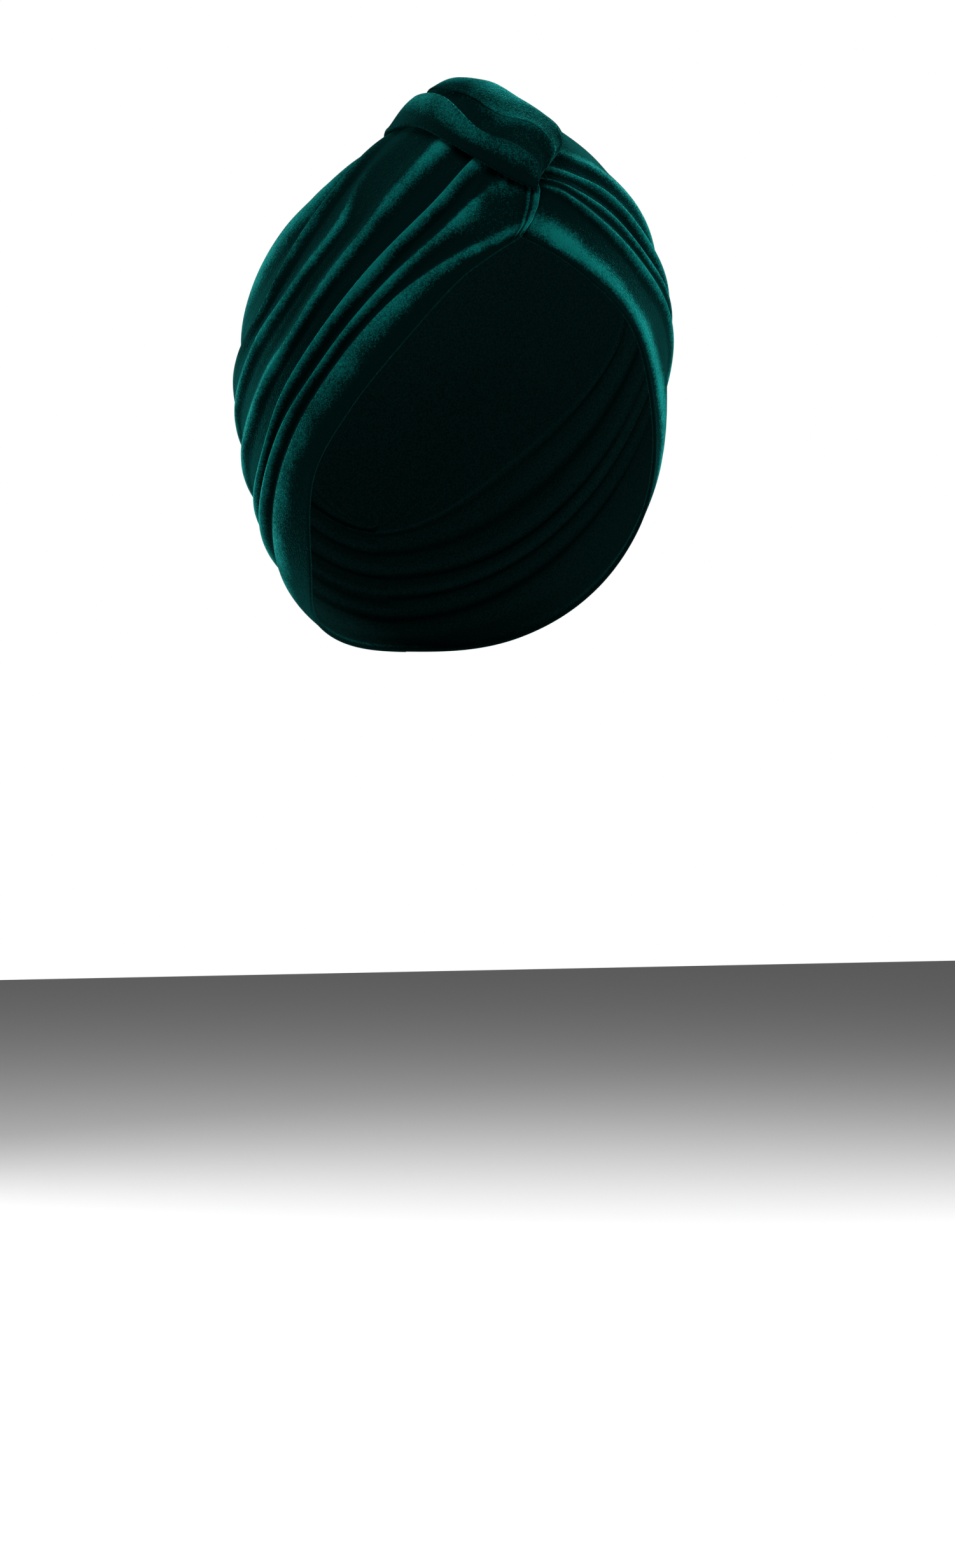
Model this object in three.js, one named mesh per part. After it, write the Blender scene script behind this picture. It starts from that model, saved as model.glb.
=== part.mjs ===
// Turban headwrap: a pre-tied knot turban of stretch velvet, in the form it takes when worn.
// Millimetres. Z is up, the front of the wrap faces -Y and the wearer's left is +X.
// The origin lies on the inner face of the crown, at its top, where the top of a head sits.
import * as THREE from "three";

// Sizes that drive the form the cloth is stretched over, measured from its centre
const half_width = 79.6;
const front_reach = 89.0;
const back_reach = 94.9;
const top_reach = 91.0;
const bottom_reach = 122.3;
const dome_swell = 13.2;
const knot_swell = 7.2;

// Sizes of the cloth
const panel_wall = 1.6;
const knot_wall = 1.8;
const fold_height = 5.0;
const knot_height = 10.0;
const inner_share = 0.85;
const tuck = 2.6;
const turned_edge_width = 4.2;
const turned_edge_height = 1.3;

// Grid steps: between two stations along a fold, and between two lines across the folds
const panel_steps = 6;
const crown_steps = 3;
const knot_steps = 4;
const across_steps = 2;

// Swells of the form: turn and rise of the middle in degrees, height, spread in degrees
const swells = [
  { turn: 16.9, rise: 46.0, height: dome_swell, spread: 35.4 },
  { turn: -10.0, rise: 69.0, height: knot_swell, spread: 16.5 },
];

// The tables below hold one row per crest, valley or edge.
// "path" gives turn and rise in degrees at each station: turn 0 is the front and 180 the back,
// rise 0 is level and 90 straight up. "height" gives the share of fold_height at six stations:
// under the knot, at its edge, at the temple, at the side, behind the ear and at the nape.

const sheet_stations = [0, 1, 2, 4, 6, 8];

const right_panel_lines = [
  { name: "hem edge", height: [0.12, 0.13, 0.16, 0.2, 0.2, 0.16],
    path: [[5, 26], [12.2, 22.3], [20.1, 17.1], [32.5, 4.3], [48.5, -12.5], [64.3, -29], [81.5, -51],
      [127, -62], [179.7, -64]] },
  { name: "hem crest", height: [0.2, 0.28, 0.5, 0.62, 0.6, 0.36],
    path: [[2.5, 29], [11, 25.4], [24, 20], [37.7, 11.1], [55.8, -6.9], [69.7, -20.8], [89.1, -37.9],
      [130, -55.5], [179.7, -60.5]] },
  { name: "first valley", height: [0.14, 0.1, 0.04, 0.04, 0.06, 0.1],
    path: [[0.5, 32.5], [10.4, 31], [25, 23], [38.8, 12.6], [56.4, -4.1], [70.2, -17.5], [87.6, -32.2],
      [132, -50], [179.7, -57]] },
  { name: "first fold", height: [0.14, 0.2, 0.5, 0.76, 0.72, 0.4],
    path: [[-1, 36.5], [10.5, 38], [22.5, 29], [39.8, 15.2], [56.9, -2.3], [71.1, -15], [87.2, -28.3],
      [133, -45.5], [179.7, -54]] },
  { name: "second valley", height: [0.08, 0.08, 0.1, 0.08, 0.08, 0.14],
    path: [[-1, 40], [12, 42], [24, 32.3], [41, 17.5], [57.4, 1], [72.6, -12.1], [88.8, -26.1],
      [134, -42.5], [179.7, -51.5]] },
  { name: "sharp fold", height: [0.16, 0.56, 1, 1, 0.56, 0.36],
    path: [[3, 50], [15.2, 45.8], [26.8, 34.2], [43.1, 19.7], [57.9, 4], [71.9, -9.2], [88.8, -23.8],
      [135, -39], [179.7, -48.5]] },
  { name: "deep valley", height: [0.08, 0, 0, 0.02, 0.06, 0.1],
    path: [[5, 54], [17.7, 47.8], [30.6, 37.5], [46.2, 23.9], [62.3, 7.7], [76.9, -6.2], [93, -20.5],
      [136, -35.5], [179.7, -46]] },
  { name: "broad fold", height: [0.32, 0.55, 0.58, 0.84, 0.72, 0.44],
    path: [[8, 60], [27, 51.5], [37.5, 42.5], [48, 28.7], [65.3, 7.6], [78.9, -3], [95, -14.5],
      [137, -30.5], [179.7, -43]] },
  { name: "fourth valley", height: [0.16, 0.2, 0.3, 0.16, 0.12, 0.12],
    path: [[16, 66], [38, 57], [48.5, 45.5], [53.4, 32.2], [70.2, 13.4], [82.6, 2.6], [96.5, -6.5],
      [138, -25], [179.7, -40]] },
  { name: "late fold", height: [0.2, 0.24, 0.36, 0.72, 0.68, 0.44],
    path: [[24, 70], [46, 61.5], [56.5, 49], [57.8, 34], [70.9, 18.1], [84.2, 8.3], [98.5, -2],
      [138.5, -20.5], [179.7, -37]] },
  { name: "last valley", height: [0.28, 0.25, 0.2, 0.28, 0.5, 0.24],
    path: [[33, 73], [54, 65.5], [61.5, 50], [66.2, 37.5], [75, 23], [86.1, 11], [102, 1.5], [139, -16.5],
      [179.7, -34]] },
  { name: "top edge", height: [0.52, 0.54, 0.64, 0.72, 0.68, 0.6],
    path: [[50, 76], [66, 69.5], [67.5, 51.5], [71.8, 38.4], [78, 25], [86.5, 14], [104, 4], [140, -13],
      [179.7, -31]] },
];

const left_panel_lines = [
  { name: "hem edge", height: [0.12, 0.13, 0.16, 0.2, 0.2, 0.16],
    path: [[-4.3, 26.4], [5, 21.5], [12.9, 16.8], [27.1, 7.1], [39.2, -7.9], [54.1, -26], [76, -44],
      [125, -62.5], [179.7, -64]] },
  { name: "hem crest", height: [0.24, 0.32, 0.42, 0.46, 0.5, 0.36],
    path: [[-1.8, 29.2], [4.8, 24.7], [12.6, 19.3], [26.3, 10], [39.9, -4], [58, -20.5], [80, -37],
      [129, -55.5], [179.7, -60.5]] },
  { name: "first valley", height: [0.12, 0.1, 0.1, 0.1, 0.08, 0.1],
    path: [[1.7, 36.8], [7, 34.2], [17, 27], [31.5, 17], [47.5, 10], [66, -1], [87, -19], [131, -50],
      [179.7, -57]] },
  { name: "first fold", height: [0.26, 0.56, 0.68, 0.68, 0.64, 0.4],
    path: [[1.9, 38], [7.8, 35.1], [17.6, 28.3], [32, 20], [48.8, 13], [68, 3.5], [89, -14], [132, -46],
      [179.7, -54]] },
  { name: "second valley", height: [0.16, 0.32, 0.42, 0.44, 0.36, 0.14],
    path: [[2.1, 39], [8.8, 36.4], [18.8, 30], [33, 21.8], [50.2, 15.2], [69.5, 6.3], [90.5, -10.5],
      [133, -43], [179.7, -51.5]] },
  { name: "thin fold", height: [0.2, 0.4, 0.66, 0.72, 0.56, 0.36],
    path: [[2.1, 40], [9.6, 37.7], [20, 31.7], [33.8, 23.4], [51.2, 17], [70.5, 8.6], [91.5, -7.5],
      [134, -40.5], [179.7, -48.5]] },
  { name: "third valley", height: [0.08, 0.1, 0.08, 0.06, 0.12, 0.1],
    path: [[2, 41.4], [10.9, 39.2], [22, 34.3], [35.7, 26], [52.4, 19], [71.6, 10.7], [92.6, -5],
      [135, -38], [179.7, -46]] },
  { name: "third fold", height: [0.24, 0.4, 0.7, 0.76, 0.64, 0.44],
    path: [[1.6, 43], [11.6, 40.9], [23, 36.3], [36.6, 28.2], [53.3, 21.4], [72.6, 13], [93.6, -2.6],
      [136, -35.5], [179.7, -43]] },
  { name: "fourth valley", height: [0.08, 0.08, 0.08, 0.1, 0.12, 0.12],
    path: [[0.7, 45.8], [12.5, 43.7], [24.2, 39.5], [38.4, 33], [55.5, 26], [74.4, 17.5], [95.6, 2.2],
      [137, -30.5], [179.7, -40]] },
  { name: "fourth fold", height: [0.24, 0.36, 0.56, 0.6, 0.56, 0.44],
    path: [[-2, 50], [13, 47.6], [25.5, 43], [40.6, 38.2], [58, 31.5], [76.5, 22.5], [98, 7.2],
      [138, -25], [179.7, -37]] },
  { name: "last valley", height: [0.12, 0.15, 0.2, 0.16, 0.12, 0.24],
    path: [[-6, 58], [20, 57], [37, 51], [52, 44.5], [67, 36], [83, 26], [103, 10], [139, -18],
      [179.7, -34]] },
  { name: "top edge", height: [0.52, 0.52, 0.54, 0.6, 0.64, 0.6],
    path: [[-14.5, 66.2], [34, 68], [54, 57.5], [67, 48.5], [79, 38], [91, 25.5], [108, 9.5], [140, -13],
      [179.7, -31]] },
];

// Lines of the crown between its two tucked edges, from the wearer's right to the left
const crown_lines = [
  { name: "right valley", height: [0, 0, 0, 0.04, 0.04, 0],
    path: [[-48, 76.6], [-72, 71], [-75.5, 55.5], [-77.5, 42], [-84, 31.5], [-95, 21], [-112, 9.5],
      [-143, -9], [-178.6, -31.6]] },
  { name: "thin fold", height: [0, 0.1, 0.28, 0.56, 0.44, 0],
    path: [[-46, 77], [-75, 72.5], [-81, 58], [-83.5, 46], [-91, 39], [-103, 29.5], [-119, 16.5],
      [-147, -6], [-179, -31.4]] },
  { name: "right hollow", height: [0, 0.03, 0.08, 0.08, 0.08, 0],
    path: [[-41, 76.3], [-80, 75], [-94, 64], [-98.5, 53], [-107, 45], [-117, 34.5], [-131, 19.5],
      [-154, -3], [-179.3, -31.2]] },
  { name: "right drape", height: [0, 0.08, 0.24, 0.36, 0.36, 0],
    path: [[-34, 75.2], [-70, 80], [-125, 72], [-130, 60], [-133, 49], [-139, 36], [-150, 20], [-165, -2],
      [-179.6, -31]] },
  { name: "middle hollow", height: [0, 0.04, 0.12, 0.16, 0.12, 0],
    path: [[-28, 74], [-45, 84], [180, 80], [180, 63], [180, 47], [180, 32], [180, 15], [180, -3],
      [180, -31]] },
  { name: "left drape", height: [0, 0.08, 0.24, 0.36, 0.32, 0],
    path: [[-23, 72.2], [20, 82], [125, 72], [130, 60], [133, 49], [140, 35], [150, 18.5], [165, -2],
      [179.6, -31]] },
  { name: "left hollow", height: [0, 0.03, 0.08, 0.08, 0.08, 0],
    path: [[-18.5, 70], [38, 74], [85, 66], [98, 57], [108, 47], [119, 33.5], [132, 16.5], [153, -4.5],
      [179.2, -31.3]] },
];

// Lines of the knot band, with heights as shares of knot_height at each of its seven stations
const knot_stations = [0, 1, 2, 3, 4, 5, 6];
const knot_lines = [
  { name: "lower edge", height: [0.59, 0.7, 0.78, 0.82, 0.8, 0.66, 0.48],
    path: [[-0.3, 36.3], [-4.8, 38], [-10.7, 41.7], [-19.5, 48.3], [-32.8, 57.8], [-64, 69],
      [-131.5, 73.3]] },
  { name: "lower roll", height: [0.6, 0.98, 1.14, 1.28, 1.3, 1.22, 0.52],
    path: [[0.3, 37], [-0.2, 41], [-6.3, 44.8], [-14.3, 49], [-23.6, 60], [-44, 71.5], [-144.9, 73.3]] },
  { name: "dip", height: [0.58, 0.88, 0.98, 0.94, 1, 1.12, 0.5],
    path: [[1.2, 38.2], [2.8, 43.2], [-2.5, 48.5], [-11, 51.5], [-19.4, 60.4], [-38, 71.5],
      [-155.2, 74.5]] },
  { name: "upper roll", height: [0.58, 1.04, 1.16, 1.12, 1.2, 1.26, 0.52],
    path: [[1.9, 39.2], [6.3, 43.8], [2.2, 49.8], [-6.5, 53], [-15, 59.6], [-33, 70], [-166.9, 75.9]] },
  { name: "back slope", height: [0.54, 0.88, 1, 1.06, 1.26, 1.36, 0.5],
    path: [[2.8, 40.3], [10, 45.8], [10, 52], [2, 58.8], [-8, 65], [-24, 74], [177.9, 77.6]] },
  { name: "upper edge", height: [0.54, 0.66, 0.64, 0.63, 0.66, 0.62, 0.46],
    path: [[3.4, 41], [12.4, 47.8], [17.4, 55], [17, 63.5], [20, 73.5], [30, 82], [155.7, 80.2]] },
];

// One unit direction from the form's centre
function direction(turn, rise) {
  const t = THREE.MathUtils.degToRad(turn);
  const r = THREE.MathUtils.degToRad(rise);
  return new THREE.Vector3(Math.sin(t) * Math.cos(r), -Math.cos(t) * Math.cos(r), Math.sin(r));
}

// Distance from the centre to the inner face of the cloth: an ellipsoid with four reaches and its swells
function reach(d) {
  const deep = d.y < 0 ? front_reach : back_reach;
  const tall = d.z > 0 ? top_reach : bottom_reach;
  let length = 1 / Math.hypot(d.x / half_width, d.y / deep, d.z / tall);
  for (const s of swells) {
    const apart = THREE.MathUtils.radToDeg(d.angleTo(direction(s.turn, s.rise)));
    length += s.height * Math.exp(-((apart / s.spread) ** 2));
  }
  return length;
}

const centre_drop = reach(new THREE.Vector3(0, 0, 1));

function place(d, off) {
  const p = d.clone().multiplyScalar(reach(d) + off);
  p.z -= centre_drop;
  return p;
}

// A smooth curve through the directions of one line, at station number u.
// A level line goes on past its last station as its own mirror image, so that it meets the nape level.
function along(path, u, level) {
  const last = path.length - 1;
  const i = Math.min(Math.floor(u), last - 1);
  const f = u - i;
  const a = path[Math.max(i - 1, 0)];
  const b = path[i];
  const c = path[i + 1];
  const before = path[last - 1];
  const beyond = level ? new THREE.Vector3(-before.x, before.y, before.z) : path[last];
  const d = i + 2 > last ? beyond : path[i + 2];
  const out = new THREE.Vector3();
  out.addScaledVector(a, 0.5 * (-f + 2 * f * f - f * f * f));
  out.addScaledVector(b, 0.5 * (2 - 5 * f * f + 3 * f * f * f));
  out.addScaledVector(c, 0.5 * (f + 4 * f * f - 3 * f * f * f));
  out.addScaledVector(d, 0.5 * (f * f * f - f * f));
  return out.normalize();
}

function ease(f) {
  return 0.5 - 0.5 * Math.cos(Math.PI * f);
}

// The height of a line at station number u, eased between the stations that its list names
function height_at(heights, stations, u) {
  let i = 0;
  while (i < stations.length - 2 && u > stations[i + 1]) {
    i += 1;
  }
  const f = (u - stations[i]) / (stations[i + 1] - stations[i]);
  return heights[i] + (heights[i + 1] - heights[i]) * ease(f);
}

function between(a, b, f) {
  return a.clone().lerp(b, f).normalize();
}

// Grids of directions and heights over a sheet whose lines have paths and heights.
// Rows run across the folds, columns along them.
function fold_grid(lines, height_stations, steps, level) {
  const columns = (lines[0].path.length - 1) * steps;
  const grid = [];
  for (let row = 0; row <= (lines.length - 1) * across_steps; row++) {
    const k = Math.min(Math.floor(row / across_steps), lines.length - 2);
    const f = row / across_steps - k;
    const cells = [];
    for (let column = 0; column <= columns; column++) {
      const u = column / steps;
      const d = between(along(lines[k].path, u, level), along(lines[k + 1].path, u, level), f);
      const low = height_at(lines[k].height, height_stations, u);
      const high = height_at(lines[k + 1].height, height_stations, u);
      cells.push({ d: d, height: low + (high - low) * ease(f) });
    }
    grid.push(cells);
  }
  return grid;
}

// A closed wall between an outer and an inner grid of points.
// "flip" is true where the rows and columns turn the other way round.
function wall(outer, inner, flip) {
  const rows = outer.length;
  const columns = outer[0].length;
  const positions = [];
  const index = [];
  for (const grid of [outer, inner]) {
    for (const row of grid) {
      for (const p of row) {
        positions.push(p.x, p.y, p.z);
      }
    }
  }
  const at = (side, i, j) => side * rows * columns + i * columns + j;
  const face = (a, b, c) => {
    if (flip) {
      index.push(a, c, b);
    } else {
      index.push(a, b, c);
    }
  };
  const quad = (a, b, c, d) => {
    face(a, b, c);
    face(a, c, d);
  };
  for (let i = 0; i < rows - 1; i++) {
    for (let j = 0; j < columns - 1; j++) {
      quad(at(0, i, j), at(0, i, j + 1), at(0, i + 1, j + 1), at(0, i + 1, j));
      quad(at(1, i, j), at(1, i + 1, j), at(1, i + 1, j + 1), at(1, i, j + 1));
    }
  }
  for (let j = 0; j < columns - 1; j++) {
    quad(at(0, 0, j), at(1, 0, j), at(1, 0, j + 1), at(0, 0, j + 1));
    quad(at(0, rows - 1, j), at(0, rows - 1, j + 1), at(1, rows - 1, j + 1), at(1, rows - 1, j));
  }
  for (let i = 0; i < rows - 1; i++) {
    quad(at(0, i, 0), at(0, i + 1, 0), at(1, i + 1, 0), at(1, i, 0));
    quad(at(0, i, columns - 1), at(1, i, columns - 1), at(1, i + 1, columns - 1), at(0, i + 1, columns - 1));
  }
  const geometry = new THREE.BufferGeometry();
  geometry.setAttribute("position", new THREE.Float32BufferAttribute(positions, 3));
  geometry.setIndex(index);
  return geometry;
}

// The lines of a table with their directions, turned to the wearer's right when side is -1
function lines_of(table, side) {
  return table.map((line) => ({
    height: line.height.map((share) => share * fold_height),
    path: line.path.map(([turn, rise]) => direction(side * turn, rise)),
  }));
}

const right_lines = lines_of(right_panel_lines, -1);
const left_lines = lines_of(left_panel_lines, 1);

// The front end of the right panel is turned under: a strip along its first column stands proud
function turned_edge(grid) {
  for (const cells of grid) {
    const start = place(cells[0].d, 0);
    for (const cell of cells) {
      const away = place(cell.d, 0).distanceTo(start) / turned_edge_width;
      cell.height += turned_edge_height * (away < 1 ? 1 - away * away * away : 0);
    }
  }
  return grid;
}

function panel(grid, flip) {
  const outer = grid.map((cells) => cells.map((c) => place(c.d, panel_wall + c.height)));
  const inner = grid.map((cells) => cells.map((c) => place(c.d, inner_share * c.height)));
  return wall(outer, inner, flip);
}

const right_panel = panel(turned_edge(fold_grid(right_lines, sheet_stations, panel_steps, true)), true);
const left_panel = panel(fold_grid(left_lines, sheet_stations, panel_steps, true), false);

// The crown's edges lie under the top edges of the two panels, a little way in
function tucked(lines) {
  const edge = lines[lines.length - 1].path;
  const next = lines[lines.length - 2].path;
  const flat = sheet_stations.map(() => 0);
  const path = edge.map((d, i) => {
    const span = d.distanceTo(next[i]) * reach(d);
    return between(d, next[i], tuck / span);
  });
  return { height: flat, path: path };
}

const crown_sheet = [tucked(right_lines), ...lines_of(crown_lines, 1), tucked(left_lines)];
const crown = panel(fold_grid(crown_sheet, sheet_stations, crown_steps, true), true);

// The knot band keeps one thickness all over, so its inner face follows its rolls
function knot_band_geometry() {
  const lines = knot_lines.map((line) => ({
    height: line.height.map((share) => share * knot_height),
    path: line.path.map(([turn, rise]) => direction(turn, rise)),
  }));
  const grid = fold_grid(lines, knot_stations, knot_steps, false);
  const outer = grid.map((cells) => cells.map((c) => place(c.d, c.height)));
  const inner = grid.map((cells) => cells.map((c) => place(c.d, c.height - knot_wall)));
  return wall(outer, inner, true);
}

const velvet = new THREE.MeshStandardMaterial({ color: 0x0b4a46, roughness: 0.85, metalness: 0.0 });
velvet.name = "velvet";

const group = new THREE.Group();
group.name = "turban_headwrap";

function add(name, geometry) {
  const mesh = new THREE.Mesh(geometry, velvet);
  mesh.name = name;
  group.add(mesh);
}

add("crown", crown);
add("right_panel", right_panel);
add("left_panel", left_panel);
add("knot_band", knot_band_geometry());

export default group;
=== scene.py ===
import bpy
import numpy as np
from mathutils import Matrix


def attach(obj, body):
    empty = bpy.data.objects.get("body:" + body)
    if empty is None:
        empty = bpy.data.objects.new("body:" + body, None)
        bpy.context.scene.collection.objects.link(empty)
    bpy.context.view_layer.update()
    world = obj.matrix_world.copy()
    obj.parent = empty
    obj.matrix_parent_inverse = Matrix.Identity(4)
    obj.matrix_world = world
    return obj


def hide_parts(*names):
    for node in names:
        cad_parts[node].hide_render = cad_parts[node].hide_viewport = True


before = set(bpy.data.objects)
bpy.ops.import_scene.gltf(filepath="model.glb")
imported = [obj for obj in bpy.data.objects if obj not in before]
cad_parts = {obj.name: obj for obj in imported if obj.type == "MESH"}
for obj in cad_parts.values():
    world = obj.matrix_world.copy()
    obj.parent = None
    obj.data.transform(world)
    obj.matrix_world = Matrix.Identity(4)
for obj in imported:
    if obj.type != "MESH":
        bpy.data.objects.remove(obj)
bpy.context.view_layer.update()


# Crown
# The smooth back of the turban is one piece of stretch velvet, pulled over the head from under the
# knot to the nape. Its two side edges are tucked under the top edges of the pleated side panels.
MM = 0.001

# The form under the cloth: its reaches from its centre and the heights of its two swells, in mm
half_width = 79.6
front_reach = 89.0
back_reach = 94.9
top_reach = 91.0
bottom_reach = 122.3
dome_swell = 13.2
knot_swell = 7.2

# Turn, rise, height and spread of the two swells of the form
swells = [(16.9, 46.0, dome_swell, 35.4), (-10.0, 69.0, knot_swell, 16.5)]

# The cloth: its wall, its tallest fold and its tucks, in mm, and how closely its inside follows
cloth_wall = 1.6
fold_height = 5.0
tuck = 2.6
inner_share = 0.85

# How steeply a fold drops, how slowly it rises and how much faster the painted highlight on it fades on the
# drop
usual_sharpness = 1.3
usual_roundness = 0.7
painted_highlight_fade = 3

# How many sine waves make up the cloth's ripples
ripple_waves = 9

# How far out each added row of a rounded edge lies, as a share of half the wall
edge_turns = [1.0, 0.92, 0.7, 0.36]

# How the velvet's painted light is worked out: height in mm of a full crest, which takes the full painted
# highlight, the rows around a point that count and their share, painting highlight on crests and shade in
# valleys, the level taken off everywhere, and the rows of the first edge, which show velvet on the inside
# too, with the strength of the painted shade over them
full_crest = 1.2
crest_rows = 5
crest_share = 0.35
crest_level = 0.3
hem_rows = 6
edge_shade = 1.6

# Stations at which a line's heights are given: under the knot, at its edge, temple, side, ear, nape
sheet_stations = [0, 1, 2, 4, 6, 8]


def unit(v):
    """Vectors v divided by their lengths."""
    return v / np.linalg.norm(v, axis=-1, keepdims=True)


def direction(turn, rise):
    """Unit vectors from the form's centre: turn 0 is the front and 90 the wearer's left,
    rise 0 is level and 90 straight up, in degrees."""
    t, r = np.radians(turn), np.radians(rise)
    return np.stack([np.sin(t) * np.cos(r), -np.cos(t) * np.cos(r), np.sin(r)], axis=-1)


def reach(d):
    """Distance in mm from the centre to the cloth's inner face along d: an ellipsoid with its own
    reach to the front, back, top and bottom, plus a bell-shaped swell for the dome and the knot."""
    deep = np.where(d[..., 1] < 0, front_reach, back_reach)
    tall = np.where(d[..., 2] > 0, top_reach, bottom_reach)
    scaled = np.stack([d[..., 0] / half_width, d[..., 1] / deep, d[..., 2] / tall], axis=-1)
    length = 1 / np.linalg.norm(scaled, axis=-1)
    for turn, rise, height, spread in swells:
        apart = np.degrees(np.arccos(np.clip(d @ direction(turn, rise), -1, 1)))
        length = length + height * np.exp(-((apart / spread) ** 2))
    return length


centre_drop = reach(np.array([0.0, 0.0, 1.0]))


def place(d, off):
    """Points in metres at off mm outside the form's inner face, along the directions d."""
    p = d * (reach(d) + off)[..., None]
    p[..., 2] -= centre_drop
    return p * MM


def along(path, u, level):
    """A Catmull-Rom curve through the directions of each line, at the station numbers u. A level
    line goes on past its last station as its own mirror image, so that it meets the nape level."""
    last = path.shape[-2] - 1
    i = np.minimum(np.floor(u).astype(int), last - 1)
    f = (u - i)[:, None]
    beyond = path[..., -2:-1, :] * (-1, 1, 1) if level else path[..., -1:, :]
    path = np.concatenate([path, beyond], axis=-2)
    a, b = path[..., np.maximum(i - 1, 0), :], path[..., i, :]
    c, d = path[..., i + 1, :], path[..., i + 2, :]
    blend = (a * (-f + 2 * f**2 - f**3) + b * (2 - 5 * f**2 + 3 * f**3)
             + c * (f + 4 * f**2 - 3 * f**3) + d * (f**3 - f**2))
    return unit(blend / 2)


def ease(f):
    """Half a cosine wave from 0 to 1."""
    return 0.5 - 0.5 * np.cos(np.pi * f)


def eased(values, stations, u):
    """Values given at stations, eased from one to the next, at the station numbers u."""
    values, stations = np.asarray(values, float), np.asarray(stations, float)
    i = np.clip(np.searchsorted(stations, u, side="right") - 1, 0, len(stations) - 2)
    f = (u - stations[i]) / (stations[i + 1] - stations[i])
    return values[..., i] + (values[..., i + 1] - values[..., i]) * ease(f)


def fold_sheet(lines, stations, along_steps, across_steps, ripple, seed, level):
    """Directions and heights of a folded cloth, and its painted light. Between two lines the direction
    runs straight. The cloth rises out of a valley to the next crest by an eased curve to the power of
    that crest's roundness, and drops from a crest by an eased curve to the power of its sharpness. The
    drop is drawn back under a crest by its lean in mm, as a sine wave. Long sine ripples run along.
    The painted highlight is 1 on a line that stands full_crest above the mean of the two beside it,
    and less in proportion. It fades slowly down the side that rises and fast down the other, as if
    lit from one side, and takes each line's own painted light and shade."""
    path = np.stack([line["path"] for line in lines])
    last = path.shape[1] - 1
    u = np.linspace(0, last, last * along_steps + 1)
    path = along(path, u, level)
    high = np.stack([eased(line["height"], stations, u) for line in lines])
    sharp = np.array([line.get("sharp", usual_sharpness) for line in lines])[:, None, None]
    round_side = np.array([line.get("round", usual_roundness) for line in lines])[:, None, None]
    lean = np.array([line.get("lean", 0.0) for line in lines])[:, None] * high / fold_height
    f = (np.arange(across_steps) / across_steps)[None, :, None]
    low_side, high_side = high[:-1, None], high[1:, None]
    falls = low_side > high_side
    from_low = np.where(falls, ease(1 - f) ** sharp[:-1], 1 - ease(f) ** round_side[1:])
    height = high_side + (low_side - high_side) * from_low
    beside = np.pad(high, ((1, 1), (0, 0)), mode="edge")
    stands = np.clip((high - (beside[:-2] + beside[2:]) / 2) / full_crest, 0, 1)
    # Painted highlight on each crest, fading slowly down the side that rises and fast down the other
    pile_and_painted_light = (stands[:-1, None] * ease(1 - f) ** (painted_highlight_fade * sharp[:-1])
            + stands[1:, None] * ease(f) ** round_side[1:])
    no_painted_shading = np.zeros(len(stations))
    # Each line's own painted light where its list is above zero and painted shade where below
    painted_shading = np.stack([eased(line.get("painted_shading", no_painted_shading), stations, u) for line in lines])
    pile_and_painted_light = pile_and_painted_light + painted_shading[:-1, None] * (1 - f) + painted_shading[1:, None] * f
    d = path[:-1, None] * (1 - f[..., None]) + path[1:, None] * f[..., None]
    wave = np.sin(np.pi * f)
    shift = -wave * np.where(falls, np.maximum(lean[:-1, None], 0), np.minimum(lean[1:, None], 0))
    columns = len(u)
    d = unit(np.concatenate([d.reshape(-1, columns, 3), path[-1:]]))
    height = np.concatenate([height.reshape(-1, columns), high[-1:]])
    pile_and_painted_light = np.concatenate([pile_and_painted_light.reshape(-1, columns), stands[-1:] + painted_shading[-1:]])
    shift = np.concatenate([shift.reshape(-1, columns), 0 * lean[-1:]])
    across = unit(np.gradient(d, axis=0))
    d = unit(d + across * (shift / reach(d))[..., None])
    x = np.arange(height.shape[0])[:, None] / across_steps
    y = u[None, :]
    rng = np.random.default_rng(seed)
    for _ in range(ripple_waves):
        waves, slant, phase = rng.uniform(2.0, 5.5), rng.uniform(-1.6, 1.6), rng.uniform(0, 6.3)
        height = height + ripple / np.sqrt(ripple_waves) * np.sin(waves * x + slant * y + phase)
    return d, np.maximum(height, 0.0), pile_and_painted_light


def above_average(height, reach_of_average):
    """How far in mm the cloth stands above its own average height a few rows and columns around:
    positive on a crest, negative in a valley. Worked out from running sums both ways."""
    n = reach_of_average
    average = height
    for _ in (0, 1):
        padded = np.pad(average, ((n + 1, n), (0, 0)), mode="edge")
        sums = np.cumsum(padded, axis=0)
        average = ((sums[2 * n + 1:] - sums[:-2 * n - 1]) / (2 * n + 1)).T
    return height - average


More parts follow.
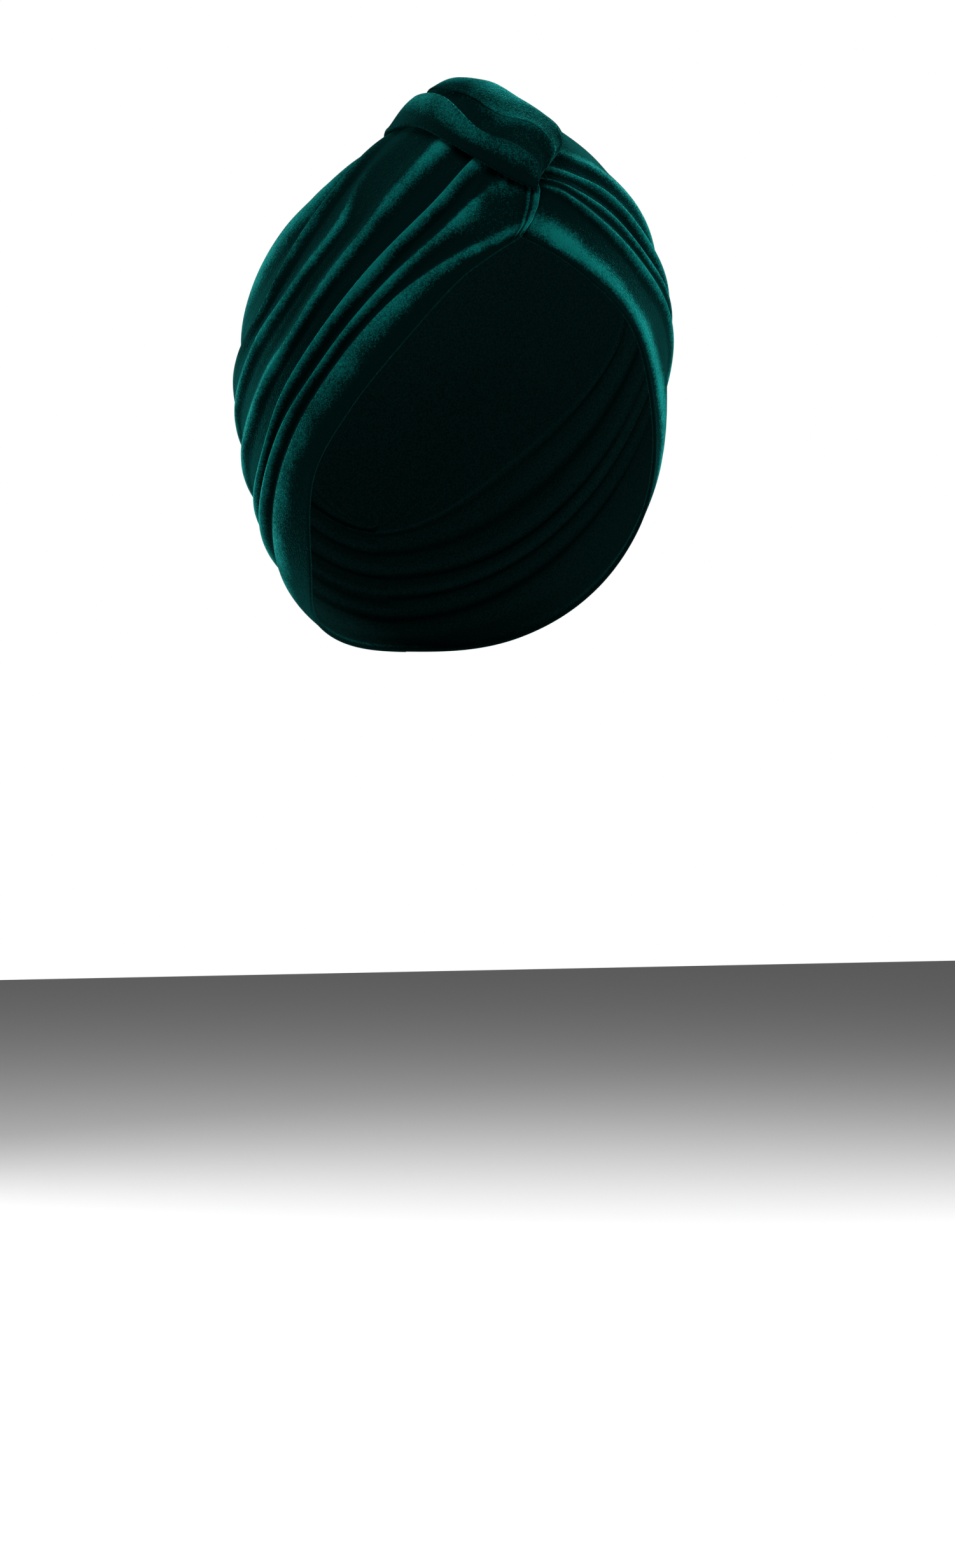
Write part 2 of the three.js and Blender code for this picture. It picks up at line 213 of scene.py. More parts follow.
def rounded_wall(name, d, height, pile_and_painted_light, wall, inner_share, flip):
    """A closed cloth wall over the grid of directions d. Its outer face lies wall + height outside
    the form and its inner face follows the folds at inner_share. Past each edge a few more rows
    run out by half the wall while the two faces close on each other in a half circle. The crest
    attribute carries the velvet's painted light and shade: the painted highlight along the folds,
    plus a share of how far each point stands above the cloth around it in mm, which paints
    highlight on crests and shade in valleys, less a level, less a bell of painted shade over the
    rows of the first edge."""
    radius = wall / 2
    turns = np.array(edge_turns)
    thin = np.sqrt(1 - turns**2)
    for axis in (0, 1):
        d, height = np.moveaxis(d, axis, 0), np.moveaxis(height, axis, 0)
        first = unit(d[0] - d[1])[None] * (radius * turns[:, None] / reach(d[0]))[..., None]
        final = unit(d[-1] - d[-2])[None] * (radius * turns[::-1, None] / reach(d[-1]))[..., None]
        d = unit(np.concatenate([d[:1] + first, d, d[-1:] + final]))
        height = np.concatenate([np.repeat(height[:1], len(turns), 0), height,
                                 np.repeat(height[-1:], len(turns), 0)])
        d, height = np.moveaxis(d, 0, axis), np.moveaxis(height, 0, axis)
    rows, columns = height.shape
    closing = [np.concatenate([thin, np.ones(n - 2 * len(turns)), thin[::-1]]) for n in (rows, columns)]
    closing = closing[0][:, None] * closing[1][None, :]
    middle = (wall + (1 + inner_share) * height) / 2
    half = closing * (wall + (1 - inner_share) * height) / 2
    outer, inner = place(d, middle + half), place(d, middle - half)

    outer_index = np.arange(rows * columns).reshape(rows, columns)
    inner_index = outer_index.copy()
    inside = (rows - 2) * (columns - 2)
    inner_index[1:-1, 1:-1] = rows * columns + np.arange(inside).reshape(rows - 2, columns - 2)
    points = np.concatenate([outer.reshape(-1, 3), inner[1:-1, 1:-1].reshape(-1, 3)])

    def quads(i, turned):
        q = np.stack([i[:-1, :-1], i[:-1, 1:], i[1:, 1:], i[1:, :-1]], axis=-1).reshape(-1, 4)
        return q[:, ::-1] if turned else q

    outside, reverse = quads(outer_index, flip), quads(inner_index, not flip)
    faces = np.concatenate([outside, reverse])
    turned_under = np.zeros((rows - 1, columns - 1), int)
    turned_under[:hem_rows] = 1
    mesh = bpy.data.meshes.new(name)
    mesh.vertices.add(len(points))
    mesh.vertices.foreach_set("co", points.ravel())
    mesh.loops.add(faces.size)
    mesh.loops.foreach_set("vertex_index", faces.ravel())
    mesh.polygons.add(len(faces))
    mesh.polygons.foreach_set("loop_start", np.arange(0, faces.size, 4))
    mesh.polygons.foreach_set("material_index", np.concatenate(
        [np.zeros(len(outside), int), 1 - turned_under.ravel()]))
    mesh.update(calc_edges=True)
    mesh.polygons.foreach_set("use_smooth", np.ones(len(faces), bool))
    # The crest attribute: painted highlight on the crests, painted shade in the valleys and along the first
    # edge
    crest = mesh.attributes.new("crest", "FLOAT", "POINT")
    from_edge = np.arange(rows)[:, None]
    painted_light_and_shade = np.pad(pile_and_painted_light, len(turns), mode="edge")
    painted_light_and_shade = crest_share * above_average(height, crest_rows) + painted_light_and_shade - crest_level
    # Painted shade along the first edge
    painted_light_and_shade = painted_light_and_shade - edge_shade * np.exp(-((from_edge / hem_rows) ** 2))
    painted_light_and_shade = np.concatenate([painted_light_and_shade.ravel(), painted_light_and_shade[1:-1, 1:-1].ravel()])
    crest.data.foreach_set("value", painted_light_and_shade)
    piece = bpy.data.objects.new(name, mesh)
    bpy.context.scene.collection.objects.link(piece)
    return piece


class Socket:
    """A shader socket whose + - ** and number * socket build Math nodes."""

    def __init__(self, tree, socket):
        self.tree, self.socket = tree, socket

    def maths(self, operation, first, second):
        return add_node(self.tree, "ShaderNodeMath", {"operation": operation}, {0: first, 1: second})

    def __add__(self, other):
        return self.maths("ADD", self, other)

    def __radd__(self, other):
        return self.maths("ADD", other, self)

    def __sub__(self, other):
        return self.maths("SUBTRACT", self, other)

    def __rmul__(self, other):
        return self.maths("MULTIPLY", other, self)

    def __pow__(self, other):
        return self.maths("POWER", self, other)


def add_node(tree, kind, settings, inputs, output=0):
    """Adds one node, sets its settings first and its inputs after, and returns one of its outputs,
    or nothing for the material's own output node."""
    node = tree.nodes.new(kind)
    for key, value in settings.items():
        setattr(node, key, value)
    for key, value in inputs.items():
        if isinstance(value, Socket):
            tree.links.new(value.socket, node.inputs[key])
        else:
            node.inputs[key].default_value = value
    return None if output is None else Socket(tree, node.outputs[output])


def new_material(name):
    """An empty node material and its tree."""
    material = bpy.data.materials.new(name)
    material.use_nodes = True
    material.node_tree.nodes.clear()
    return material, material.node_tree


# The velvet's colours: its own near-black green, a lighter green for the painted highlight on the crests
# and for brushed patches, a faint sheen for the painted shade in the valleys and a strong sheen for the
# painted highlight on the crests, and the two tones of the reverse
pile_dark = (0.0003, 0.0042, 0.0041, 1)
painted_highlight_and_patch = (0.0020, 0.085, 0.078, 1)
painted_shade_sheen = (0.008, 0.13, 0.12, 1)
painted_highlight_sheen = (0.050, 0.74, 0.68, 1)
reverse_dark = (0.0012, 0.011, 0.0105, 1)
reverse_light = (0.003, 0.024, 0.0225, 1)

# How much the painted light on the crests, the brushed patches and the two grains move the velvet towards
# its lighter colour and its lit copy
crest_weight = 1.1
patch_weight = 2.0
grain_weight = 1.8
coarse_weight = 1.0

# The two colour inputs and the colour output of a Mix node, whose names other sockets share
first_colour, second_colour, mixed_colour = 6, 7, 2


def velvet_material():
    """Stretch velvet: near-black green with a painted highlight that lightens it on the crests and painted
    shade in the valleys, lighter too in brushed patches. Its sheen is mixed from two copies, a shaded one
    with a faint sheen and a lit one with a strong sheen, and a fine grain of pile tips shows in colour,
    roughness and bump."""
    material, tree = new_material("velvet")
    where = add_node(tree, "ShaderNodeTexCoord", {}, {}, "Object")
    patches = add_node(tree, "ShaderNodeTexNoise", {}, {"Vector": where, "Scale": 38.0, "Detail": 3.0})
    grain = add_node(tree, "ShaderNodeTexNoise", {}, {"Vector": where, "Scale": 2300.0, "Detail": 1.5})
    coarse = add_node(tree, "ShaderNodeTexNoise", {}, {"Vector": where, "Scale": 900.0, "Detail": 2.0})
    crest = add_node(tree, "ShaderNodeAttribute", {"attribute_name": "crest"}, {}, "Fac")
    # Painted light from the crest attribute, with random patches and grain, sets the mix towards the
    # lighter colour and the lit copy
    patches_grain_and_painted_light = (crest_weight * crest + patch_weight * (patches - 0.5)
               + grain_weight * (grain - 0.5) + coarse_weight * (coarse - 0.5))
    mix = add_node(tree, "ShaderNodeMapRange", {},
                   {"Value": patches_grain_and_painted_light, "From Min": -0.1, "From Max": 1.1}) ** 1.5
    colour = add_node(tree, "ShaderNodeMix", {"data_type": "RGBA"},
                      {"Factor": mix, first_colour: pile_dark, second_colour: painted_highlight_and_patch}, mixed_colour)
    pile_and_painted_light = 0.6 * grain + 0.4 * coarse
    bump = add_node(tree, "ShaderNodeBump", {}, {"Height": pile_and_painted_light, "Strength": 0.8, "Distance": 0.0008})
    # A shaded copy with a faint sheen and a lit copy with a strong sheen: painted shade in the valleys,
    # painted highlight on the crests
    shaded_and_lit_sheens = [add_node(tree, "ShaderNodeBsdfPrincipled", {}, {
        "Base Color": colour, "Roughness": 0.78 + 0.3 * (coarse - 0.5), "Specular IOR Level": 0.0,
        "Sheen Weight": 1.0, "Sheen Roughness": 0.25, "Sheen Tint": tint, "Normal": bump})
        for tint in (painted_shade_sheen, painted_highlight_sheen)]
    shader = add_node(tree, "ShaderNodeMixShader", {}, {0: mix, 1: shaded_and_lit_sheens[0], 2: shaded_and_lit_sheens[1]})
    add_node(tree, "ShaderNodeOutputMaterial", {}, {"Surface": shader}, None)
    return material


def reverse_material():
    """The knitted back of the velvet: flat dark green with fine ribs of loops."""
    material, tree = new_material("velvet_reverse")
    where = add_node(tree, "ShaderNodeTexCoord", {}, {}, "Object")
    loops = add_node(tree, "ShaderNodeTexNoise", {}, {"Vector": where, "Scale": 1500.0, "Detail": 1.0})
    shade = add_node(tree, "ShaderNodeMapRange", {}, {"Value": loops, "From Min": 0.3, "From Max": 0.7})
    colour = add_node(tree, "ShaderNodeMix", {"data_type": "RGBA"},
                      {"Factor": shade, first_colour: reverse_dark, second_colour: reverse_light},
                      mixed_colour)
    bump = add_node(tree, "ShaderNodeBump", {}, {"Height": loops, "Strength": 0.3, "Distance": 0.0003})
    shader = add_node(tree, "ShaderNodeBsdfPrincipled", {}, {
        "Base Color": colour, "Roughness": 0.9, "Specular IOR Level": 0.0, "Normal": bump})
    add_node(tree, "ShaderNodeOutputMaterial", {}, {"Surface": shader}, None)
    return material


velvet = velvet_material()
velvet_reverse = reverse_material()


def dress(piece, node):
    """Gives a cloth piece its two materials and says what it is and what it stands for."""
    piece.data.materials.append(velvet)
    piece.data.materials.append(velvet_reverse)
    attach(piece, "root")
    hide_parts(node)


def lines_of(table, side, tallest=fold_height, wall=0.0):
    """The lines of a table with their directions, turned to the wearer's right when side is -1. Each
    height is a share of the tallest in mm, less the wall where the shares count it in."""
    lines = []
    for row in table:
        turn, rise = np.array(row["path"], float).T
        heights = tallest * np.array(row["height"], float) - wall
        lines.append({**row, "height": heights, "path": direction(side * turn, rise)})
    return lines


# Crests and valleys of the crown between its tucked edges, from the wearer's right to the left. Each
# row gives a line's path as (turn, rise) at every station and its height as a share of fold_height.
# Where they are given, sharp, round and lean set how a fold drops, rises and leans over, and a further
# list adds painted light to the line where it is above zero and painted shade where below, at the
# stations of the heights.
crown_lines = [
    {"name": "right valley", "height": [0, 0, 0, 0.04, 0.04, 0],
     "path": [(-48, 76.6), (-72, 71), (-75.5, 55.5), (-77.5, 42), (-84, 31.5), (-95, 21), (-112, 9.5),
              (-143, -9), (-178.6, -31.6)]},
    {"name": "thin fold", "height": [0, 0.1, 0.28, 0.56, 0.44, 0], "sharp": 1.6,
     "path": [(-46, 77), (-75, 72.5), (-81, 58), (-83.5, 46), (-91, 39), (-103, 29.5), (-119, 16.5),
              (-147, -6), (-179, -31.4)]},
    {"name": "right hollow", "height": [0, 0.03, 0.08, 0.08, 0.08, 0],
     "path": [(-41, 76.3), (-80, 75), (-94, 64), (-98.5, 53), (-107, 45), (-117, 34.5), (-131, 19.5),
              (-154, -3), (-179.3, -31.2)]},
    {"name": "right drape", "height": [0, 0.08, 0.24, 0.36, 0.36, 0],
     "path": [(-34, 75.2), (-70, 80), (-125, 72), (-130, 60), (-133, 49), (-139, 36), (-150, 20),
              (-165, -2), (-179.6, -31)]},
    {"name": "middle hollow", "height": [0, 0.04, 0.12, 0.16, 0.12, 0],
     "path": [(-28, 74), (-45, 84), (180, 80), (180, 63), (180, 47), (180, 32), (180, 15), (180, -3),
              (180, -31)]},
    {"name": "left drape", "height": [0, 0.08, 0.24, 0.36, 0.32, 0],
     "path": [(-23, 72.2), (20, 82), (125, 72), (130, 60), (133, 49), (140, 35), (150, 18.5), (165, -2),
              (179.6, -31)]},
    {"name": "left hollow", "height": [0, 0.03, 0.08, 0.08, 0.08, 0],
     "path": [(-18.5, 70), (38, 74), (85, 66), (98, 57), (108, 47), (119, 33.5), (132, 16.5),
              (153, -4.5), (179.2, -31.3)]},
]


# Top edges of the two side panels and the valleys beside them, which the crown is tucked under
right_top_edge = [(50, 76), (66, 69.5), (67.5, 51.5), (71.8, 38.4), (78, 25), (86.5, 14), (104, 4),
                  (140, -13), (179.7, -31)]
right_last_valley = [(33, 73), (54, 65.5), (61.5, 50), (66.2, 37.5), (75, 23), (86.1, 11), (102, 1.5),
                     (139, -16.5), (179.7, -34)]
left_top_edge = [(-14.5, 66.2), (34, 68), (54, 57.5), (67, 48.5), (79, 38), (91, 25.5), (108, 9.5),
                 (140, -13), (179.7, -31)]
left_last_valley = [(-6, 58), (20, 57), (37, 51), (52, 44.5), (67, 36), (83, 26), (103, 10), (139, -18),
                    (179.7, -34)]


def tucked(edge, beside, side):
    """A flat line that lies tuck mm inside a panel's top edge, towards the valley beside it."""
    edge = direction(*(np.array(edge, float) * (side, 1)).T)
    beside = direction(*(np.array(beside, float) * (side, 1)).T)
    span = np.linalg.norm(edge - beside, axis=-1) * reach(edge)
    share = (tuck / span)[:, None]
    return {"name": "tucked edge", "height": np.zeros(len(sheet_stations)),
            "path": unit(edge * (1 - share) + beside * share)}


crown_sheet = [tucked(right_top_edge, right_last_valley, -1), *lines_of(crown_lines, 1),
               tucked(left_top_edge, left_last_valley, 1)]
crown = rounded_wall(
    "crown_cloth", *fold_sheet(crown_sheet, sheet_stations, along_steps=24, across_steps=18,
                               ripple=0.16, seed=3, level=True), cloth_wall, inner_share, flip=True)
dress(crown, "crown")


# Left side panel
# The pleated band of velvet on the wearer's left runs from the pinch at the centre front, over the
# temple and round to the centre of the nape. Its lower edge is turned under and frames the face.
# Where a row gives a list of shading, it adds painted light to the line where above zero and painted shade
# where below
left_panel_lines = [
    {"name": "hem edge", "height": [0.12, 0.13, 0.16, 0.2, 0.2, 0.16],
     "painted_shading": [0.7, 0.9, 0.7, 0.3, 0, 0],
     "path": [(-4.3, 26.4), (5, 21.5), (12.9, 16.8), (27.1, 7.1), (39.2, -7.9), (54.1, -26), (76, -44),
              (125, -62.5), (179.7, -64)]},
    {"name": "hem crest", "height": [0.24, 0.32, 0.42, 0.46, 0.5, 0.36],
     "painted_shading": [0.4, 0.4, 0.15, -0.05, 0, 0],
     "path": [(-1.8, 29.2), (4.8, 24.7), (12.6, 19.3), (26.3, 10), (39.9, -4), (58, -20.5), (80, -37),
              (129, -55.5), (179.7, -60.5)]},
    {"name": "first valley", "height": [0.12, 0.1, 0.1, 0.1, 0.08, 0.1],
     "path": [(1.7, 36.8), (7, 34.2), (17, 27), (31.5, 17), (47.5, 10), (66, -1), (87, -19), (131, -50),
              (179.7, -57)]},
    {"name": "first fold", "height": [0.26, 0.56, 0.68, 0.68, 0.64, 0.4], "lean": -0.8, "round": 1.0,
     "path": [(1.9, 38), (7.8, 35.1), (17.6, 28.3), (32, 20), (48.8, 13), (68, 3.5), (89, -14),
              (132, -46), (179.7, -54)]},
    {"name": "second valley", "height": [0.16, 0.32, 0.42, 0.44, 0.36, 0.14],
     "path": [(2.1, 39), (8.8, 36.4), (18.8, 30), (33, 21.8), (50.2, 15.2), (69.5, 6.3), (90.5, -10.5),
              (133, -43), (179.7, -51.5)]},
    {"name": "thin fold", "height": [0.2, 0.4, 0.66, 0.72, 0.56, 0.36],
     "sharp": 1.8, "lean": 1.2, "round": 1.5,
     "path": [(2.1, 40), (9.6, 37.7), (20, 31.7), (33.8, 23.4), (51.2, 17), (70.5, 8.6), (91.5, -7.5),
              (134, -40.5), (179.7, -48.5)]},
    {"name": "third valley", "height": [0.08, 0.1, 0.08, 0.06, 0.12, 0.1],
     "path": [(2, 41.4), (10.9, 39.2), (22, 34.3), (35.7, 26), (52.4, 19), (71.6, 10.7), (92.6, -5),
              (135, -38), (179.7, -46)]},
    {"name": "third fold", "height": [0.24, 0.4, 0.7, 0.76, 0.64, 0.44],
     "sharp": 1.8, "lean": 1.2, "round": 1.5,
     "path": [(1.6, 43), (11.6, 40.9), (23, 36.3), (36.6, 28.2), (53.3, 21.4), (72.6, 13), (93.6, -2.6),
              (136, -35.5), (179.7, -43)]},
    {"name": "fourth valley", "height": [0.08, 0.08, 0.08, 0.1, 0.12, 0.12],
     "path": [(0.7, 45.8), (12.5, 43.7), (24.2, 39.5), (38.4, 33), (55.5, 26), (74.4, 17.5),
              (95.6, 2.2), (137, -30.5), (179.7, -40)]},
    {"name": "fourth fold", "height": [0.24, 0.36, 0.56, 0.6, 0.56, 0.44],
     "sharp": 1.6, "lean": 1.0, "round": 1.5,
     "painted_shading": [-0.2, -0.4, -0.3, 0, 0, 0],
     "path": [(-2, 50), (13, 47.6), (25.5, 43), (40.6, 38.2), (58, 31.5), (76.5, 22.5), (98, 7.2),
              (138, -25), (179.7, -37)]},
    {"name": "last valley", "height": [0.12, 0.15, 0.2, 0.16, 0.12, 0.24],
     "painted_shading": [-0.2, -0.6, -0.6, -0.4, 0, 0],
     "path": left_last_valley},
    {"name": "top edge", "height": [0.52, 0.52, 0.54, 0.6, 0.64, 0.6],
     "painted_shading": [0, -0.8, -0.8, -0.6, -0.2, 0],
     "path": left_top_edge},
]
left_panel = rounded_wall(
    "left_panel_cloth", *fold_sheet(lines_of(left_panel_lines, 1), sheet_stations, along_steps=36,
                                    across_steps=9, ripple=0.14, seed=5, level=True),
    cloth_wall, inner_share, flip=False)
dress(left_panel, "left_panel")


# Right side panel
# The other pleated band, whose front end is turned under and lies over the left one. One sharp fold
# stands over a deep valley from the knot to behind the ear, with broader soft folds above it.
# The turned edge's width and height in mm and the strength of the painted highlight along it
turned_edge_width = 4.2
turned_edge_height = 1.3
turned_edge_painted_highlight = 0.9

# The groove along the middle of the turned edge: its place and width as shares of the edge's, and
# how much of the edge's height and of its painted highlight it takes away, which paints shade in the groove
groove_place = 0.5
groove_width = 0.17
groove_depth = 0.7
groove_painted_shade = 0.8
# Where a row gives a list of shading, it adds painted light to the line where above zero and painted shade
# where below
right_panel_lines = [
    {"name": "hem edge", "height": [0.12, 0.13, 0.16, 0.2, 0.2, 0.16],
     "path": [(5, 26), (12.2, 22.3), (20.1, 17.1), (32.5, 4.3), (48.5, -12.5), (64.3, -29), (81.5, -51),
              (127, -62), (179.7, -64)]},
    {"name": "hem crest", "height": [0.2, 0.28, 0.5, 0.62, 0.6, 0.36], "sharp": 1.8, "lean": 0.8,
     "painted_shading": [0, 0.15, 0, -0.35, -0.45, -0.2],
     "path": [(2.5, 29), (11, 25.4), (24, 20), (37.7, 11.1), (55.8, -6.9), (69.7, -20.8), (89.1, -37.9),
              (130, -55.5), (179.7, -60.5)]},
    {"name": "first valley", "height": [0.14, 0.1, 0.04, 0.04, 0.06, 0.1],
     "path": [(0.5, 32.5), (10.4, 31), (25, 23), (38.8, 12.6), (56.4, -4.1), (70.2, -17.5),
              (87.6, -32.2), (132, -50), (179.7, -57)]},
    {"name": "first fold", "height": [0.14, 0.2, 0.5, 0.76, 0.72, 0.4], "sharp": 1.6, "lean": 1.0,
     "path": [(-1, 36.5), (10.5, 38), (22.5, 29), (39.8, 15.2), (56.9, -2.3), (71.1, -15),
              (87.2, -28.3), (133, -45.5), (179.7, -54)]},
    {"name": "second valley", "height": [0.08, 0.08, 0.1, 0.08, 0.08, 0.14],
     "path": [(-1, 40), (12, 42), (24, 32.3), (41, 17.5), (57.4, 1), (72.6, -12.1), (88.8, -26.1),
              (134, -42.5), (179.7, -51.5)]},
    {"name": "sharp fold", "height": [0.16, 0.56, 1, 1, 0.56, 0.36], "sharp": 2.2, "lean": 2.4,
     "path": [(3, 50), (15.2, 45.8), (26.8, 34.2), (43.1, 19.7), (57.9, 4), (71.9, -9.2), (88.8, -23.8),
              (135, -39), (179.7, -48.5)]},
    {"name": "deep valley", "height": [0.08, 0, 0, 0.02, 0.06, 0.1],
     "path": [(5, 54), (17.7, 47.8), (30.6, 37.5), (46.2, 23.9), (62.3, 7.7), (76.9, -6.2), (93, -20.5),
              (136, -35.5), (179.7, -46)]},
    {"name": "broad fold", "height": [0.32, 0.55, 0.58, 0.84, 0.72, 0.44], "sharp": 2.2, "round": 2.0,
     "painted_shading": [-0.2, -0.3, -0.4, -0.35, -0.3, 0],
     "path": [(8, 60), (27, 51.5), (37.5, 42.5), (48, 28.7), (65.3, 7.6), (78.9, -3), (95, -14.5),
              (137, -30.5), (179.7, -43)]},
    {"name": "fourth valley", "height": [0.16, 0.2, 0.3, 0.16, 0.12, 0.12],
     "painted_shading": [0, 0, 0, -0.2, -0.2, 0],
     "path": [(16, 66), (38, 57), (48.5, 45.5), (53.4, 32.2), (70.2, 13.4), (82.6, 2.6), (96.5, -6.5),
              (138, -25), (179.7, -40)]},
    {"name": "late fold", "height": [0.2, 0.24, 0.36, 0.72, 0.68, 0.44],
     "sharp": 2.0, "lean": 1.0, "round": 2.2,
     "painted_shading": [0, -0.2, -0.1, -0.3, -0.35, 0],
     "path": [(24, 70), (46, 61.5), (56.5, 49), (57.8, 34), (70.9, 18.1), (84.2, 8.3), (98.5, -2),
              (138.5, -20.5), (179.7, -37)]},
    {"name": "last valley", "height": [0.28, 0.25, 0.2, 0.28, 0.5, 0.24],
     "painted_shading": [0, -0.2, -0.3, -0.4, -0.3, 0],
     "path": right_last_valley},
    {"name": "top edge", "height": [0.52, 0.54, 0.64, 0.72, 0.68, 0.6],
     "painted_shading": [0, -0.3, -0.4, -0.5, -0.4, 0],
     "path": right_top_edge},
]
d, height, pile_and_painted_light = fold_sheet(lines_of(right_panel_lines, -1), sheet_stations, along_steps=36,
                             across_steps=9, ripple=0.14, seed=8, level=True)

# Short gathers that run out from under the knot, as (turn, rise) at both ends, in mm across and high,
# and the share of its height that each has lost at its end
gather_fade = 0.7
small_gathers = [
    {"name": "ridge", "start": (-7.7, 43.0), "end": (-8.1, 37.6), "height": 1.3, "width": 1.2},
    {"name": "left crease", "start": (-9.4, 43.0), "end": (-15.2, 36.4), "height": -1.5, "width": 1.5},
    {"name": "right crease", "start": (-6.1, 43.0), "end": (-5.6, 38.2), "height": -1.2, "width": 1.2},
]
for gather in small_gathers:
    start, end = direction(*gather["start"]), direction(*gather["end"])
    run = (end - start) / np.sum((end - start) ** 2)
    part_way = np.clip((d - start) @ run, 0, 1)
    gap = np.linalg.norm(d - start - part_way[..., None] * (end - start), axis=-1) * reach(d)
    bell = np.exp(-((gap / gather["width"]) ** 2))
    height = height + gather["height"] * bell * (1 - gather_fade * part_way)
height = np.maximum(height, 0)
away = np.linalg.norm(place(d, height * 0) - place(d[:, :1], height[:, :1] * 0), axis=-1)
away = np.minimum(away / (turned_edge_width * MM), 1)
groove = np.exp(-(((away - groove_place) / groove_width) ** 2))
height = height + turned_edge_height * (1 - away**3 - groove_depth * groove)
# Painted highlight along the turned edge, held back in its groove as painted shade
pile_and_painted_light = pile_and_painted_light + turned_edge_painted_highlight * (1 - away**6) * (1 - groove_painted_shade * groove)
right_panel = rounded_wall("right_panel_cloth", d, height, pile_and_painted_light, cloth_wall, inner_share, flip=True)
dress(right_panel, "right_panel")


# Knot band
# A gathered band of the same velvet wraps over the front of the head where the side panels meet. It
# is pulled narrow at the pinch over the forehead and spreads wide and high over the top.
knot_wall = 1.8
knot_height = 10.0
knot_stations = [0, 1, 2, 3, 4, 5, 6]

# From the knot's lower edge to its upper one. Heights are shares of knot_height, the wall included
# Where a row gives a list of shading, it adds painted light to the line where above zero and painted shade
# where below
knot_lines = [
    {"name": "lower edge", "height": [0.59, 0.7, 0.78, 0.82, 0.8, 0.66, 0.48],
     "painted_shading": [0, 0, 0.1, 0.1, 0.1, 0, 0],
     "path": [(-0.3, 36.3), (-4.8, 38), (-10.7, 41.7), (-19.5, 48.3), (-32.8, 57.8), (-64, 69),
              (-131.5, 73.3)]},
    {"name": "lower roll", "height": [0.6, 0.98, 1.14, 1.28, 1.3, 1.22, 0.52], "sharp": 1.8, "lean": 1.2,
     "painted_shading": [0, -0.5, -0.55, -0.5, -0.2, 0, 0],
     "path": [(0.3, 37), (-0.2, 41), (-6.3, 44.8), (-14.3, 49), (-23.6, 60), (-44, 71.5), (-144.9, 73.3)]},
    {"name": "dip", "height": [0.58, 0.88, 0.98, 0.94, 1, 1.12, 0.5],
     "painted_shading": [0, 0.2, 0.35, 0.4, 0.35, 0.2, 0],
     "path": [(1.2, 38.2), (2.8, 43.2), (-2.5, 48.5), (-11, 51.5), (-19.4, 60.4), (-38, 71.5),
              (-155.2, 74.5)]},
    {"name": "upper roll", "height": [0.58, 1.04, 1.16, 1.12, 1.2, 1.26, 0.52], "lean": -1.2,
     "painted_shading": [0, -0.2, 0, 0.1, 0.1, 0.1, 0],
     "path": [(1.9, 39.2), (6.3, 43.8), (2.2, 49.8), (-6.5, 53), (-15, 59.6), (-33, 70), (-166.9, 75.9)]},
    {"name": "back slope", "height": [0.54, 0.88, 1, 1.06, 1.26, 1.36, 0.5],
     "painted_shading": [0, -0.2, -0.2, -0.1, 0.1, 0.1, 0],
     "path": [(2.8, 40.3), (10, 45.8), (10, 52), (2, 58.8), (-8, 65), (-24, 74), (177.9, 77.6)]},
    {"name": "upper edge", "height": [0.54, 0.66, 0.64, 0.63, 0.66, 0.62, 0.46],
     "painted_shading": [0, -0.3, -0.5, -0.5, -0.3, 0, 0],
     "path": [(3.4, 41), (12.4, 47.8), (17.4, 55), (17, 63.5), (20, 73.5), (30, 82), (155.7, 80.2)]},
]
knot_sheet = lines_of(knot_lines, 1, knot_height, knot_wall)
knot = rounded_wall(
    "knot_band_cloth", *fold_sheet(knot_sheet, knot_stations, along_steps=30, across_steps=18,
                                   ripple=0.2, seed=11, level=False),
    knot_wall, inner_share=1.0, flip=True)
dress(knot, "knot_band")


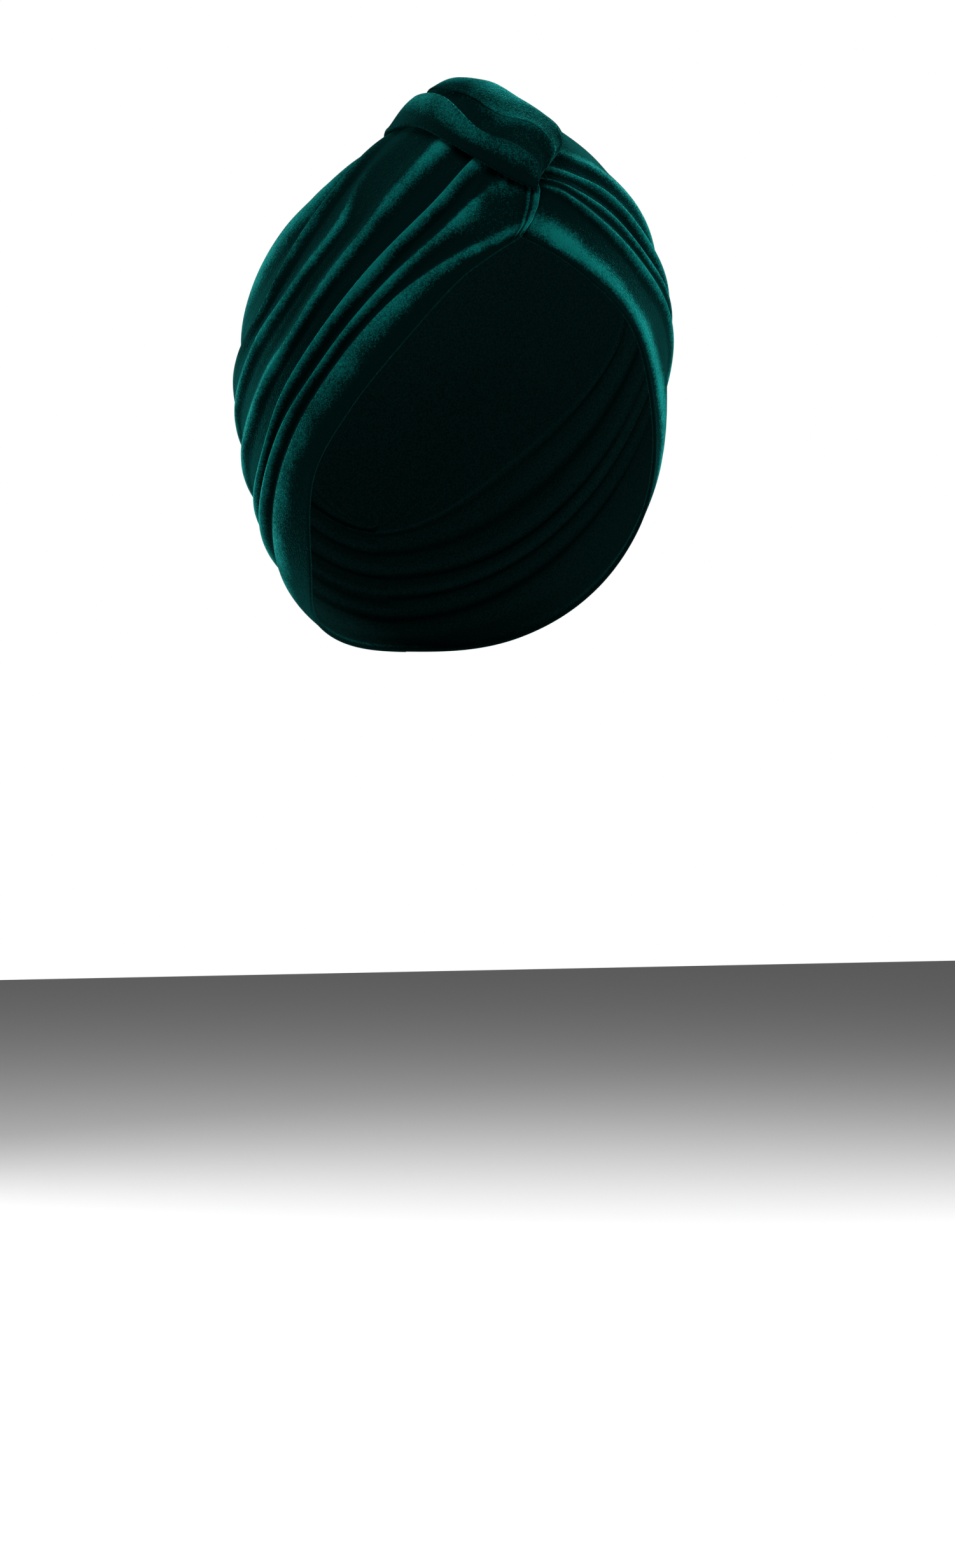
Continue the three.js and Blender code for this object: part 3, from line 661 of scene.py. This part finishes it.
# Studio
# A pale floor and a white surround, as for a product picture, with four large soft lights. Seen from
# the camera they stand at the left and behind, at the right, above and behind, and high in front at
# the left.
floor_level = -0.545
floor_size = 8
bpy.ops.mesh.primitive_plane_add(size=floor_size, location=(0, 0, floor_level))
floor = bpy.context.object
floor.name = "studio_floor"
floor_material, tree = new_material("pale_floor")
shader = add_node(tree, "ShaderNodeBsdfPrincipled", {},
                  {"Base Color": (0.86, 0.86, 0.86, 1), "Roughness": 0.8})
add_node(tree, "ShaderNodeOutputMaterial", {}, {"Surface": shader}, None)
floor.data.materials.append(floor_material)

bpy.context.scene.view_settings.view_transform = "Standard"
world = bpy.data.worlds.new("white_surround")
bpy.context.scene.world = world
world.use_nodes = True
tree = world.node_tree
tree.nodes.clear()
seen = add_node(tree, "ShaderNodeLightPath", {}, {}, "Is Camera Ray")
surround = add_node(tree, "ShaderNodeBackground", {}, {"Color": (1, 1, 1, 1), "Strength": 0.1 + 0.9 * seen})
add_node(tree, "ShaderNodeOutputWorld", {}, {"Surface": surround}, None)


# Height in metres of the point that the lights are aimed at
aim_level = -0.1


def soft_light(name, turn, rise, away, size, power):
    """A square area light aimed at the middle of the turban from a turn and rise in degrees, at a
    distance and of a size in metres, with a power in watts."""
    lamp = bpy.data.lights.new(name, "AREA")
    lamp.size, lamp.energy = size, power
    light = bpy.data.objects.new(name, lamp)
    bpy.context.scene.collection.objects.link(light)
    aim = direction(turn, rise)
    light.location = aim * away + np.array([0, 0, aim_level])
    x, y, z = aim
    light.rotation_euler = (np.arccos(z), 0, np.arctan2(y, x) + np.pi / 2)


soft_light("left_softbox", -150, 0, 1.3, 0.9, 13)
soft_light("right_softbox", 78, 0, 1.3, 0.9, 44)
soft_light("top_softbox", -160, 60, 1.4, 0.8, 14)
soft_light("front_softbox", -48, 46, 1.5, 0.8, 24)

camera_turn = -22.0
camera_away = 1.4545
camera_aside = 0.0099
camera_level = -0.1593 - centre_drop * MM
lens_length = 85
sensor_width = 36
lens = bpy.data.cameras.new("camera")
lens.lens, lens.sensor_width = lens_length, sensor_width
camera = bpy.data.objects.new("camera", lens)
bpy.context.scene.collection.objects.link(camera)
angle = np.radians(camera_turn)
sideways = np.array([np.cos(angle), np.sin(angle), 0])
backwards = np.array([np.sin(angle), -np.cos(angle), 0])
camera.location = sideways * camera_aside + backwards * camera_away + np.array([0, 0, camera_level])
camera.rotation_euler = (np.pi / 2, 0, angle)
bpy.context.scene.camera = camera
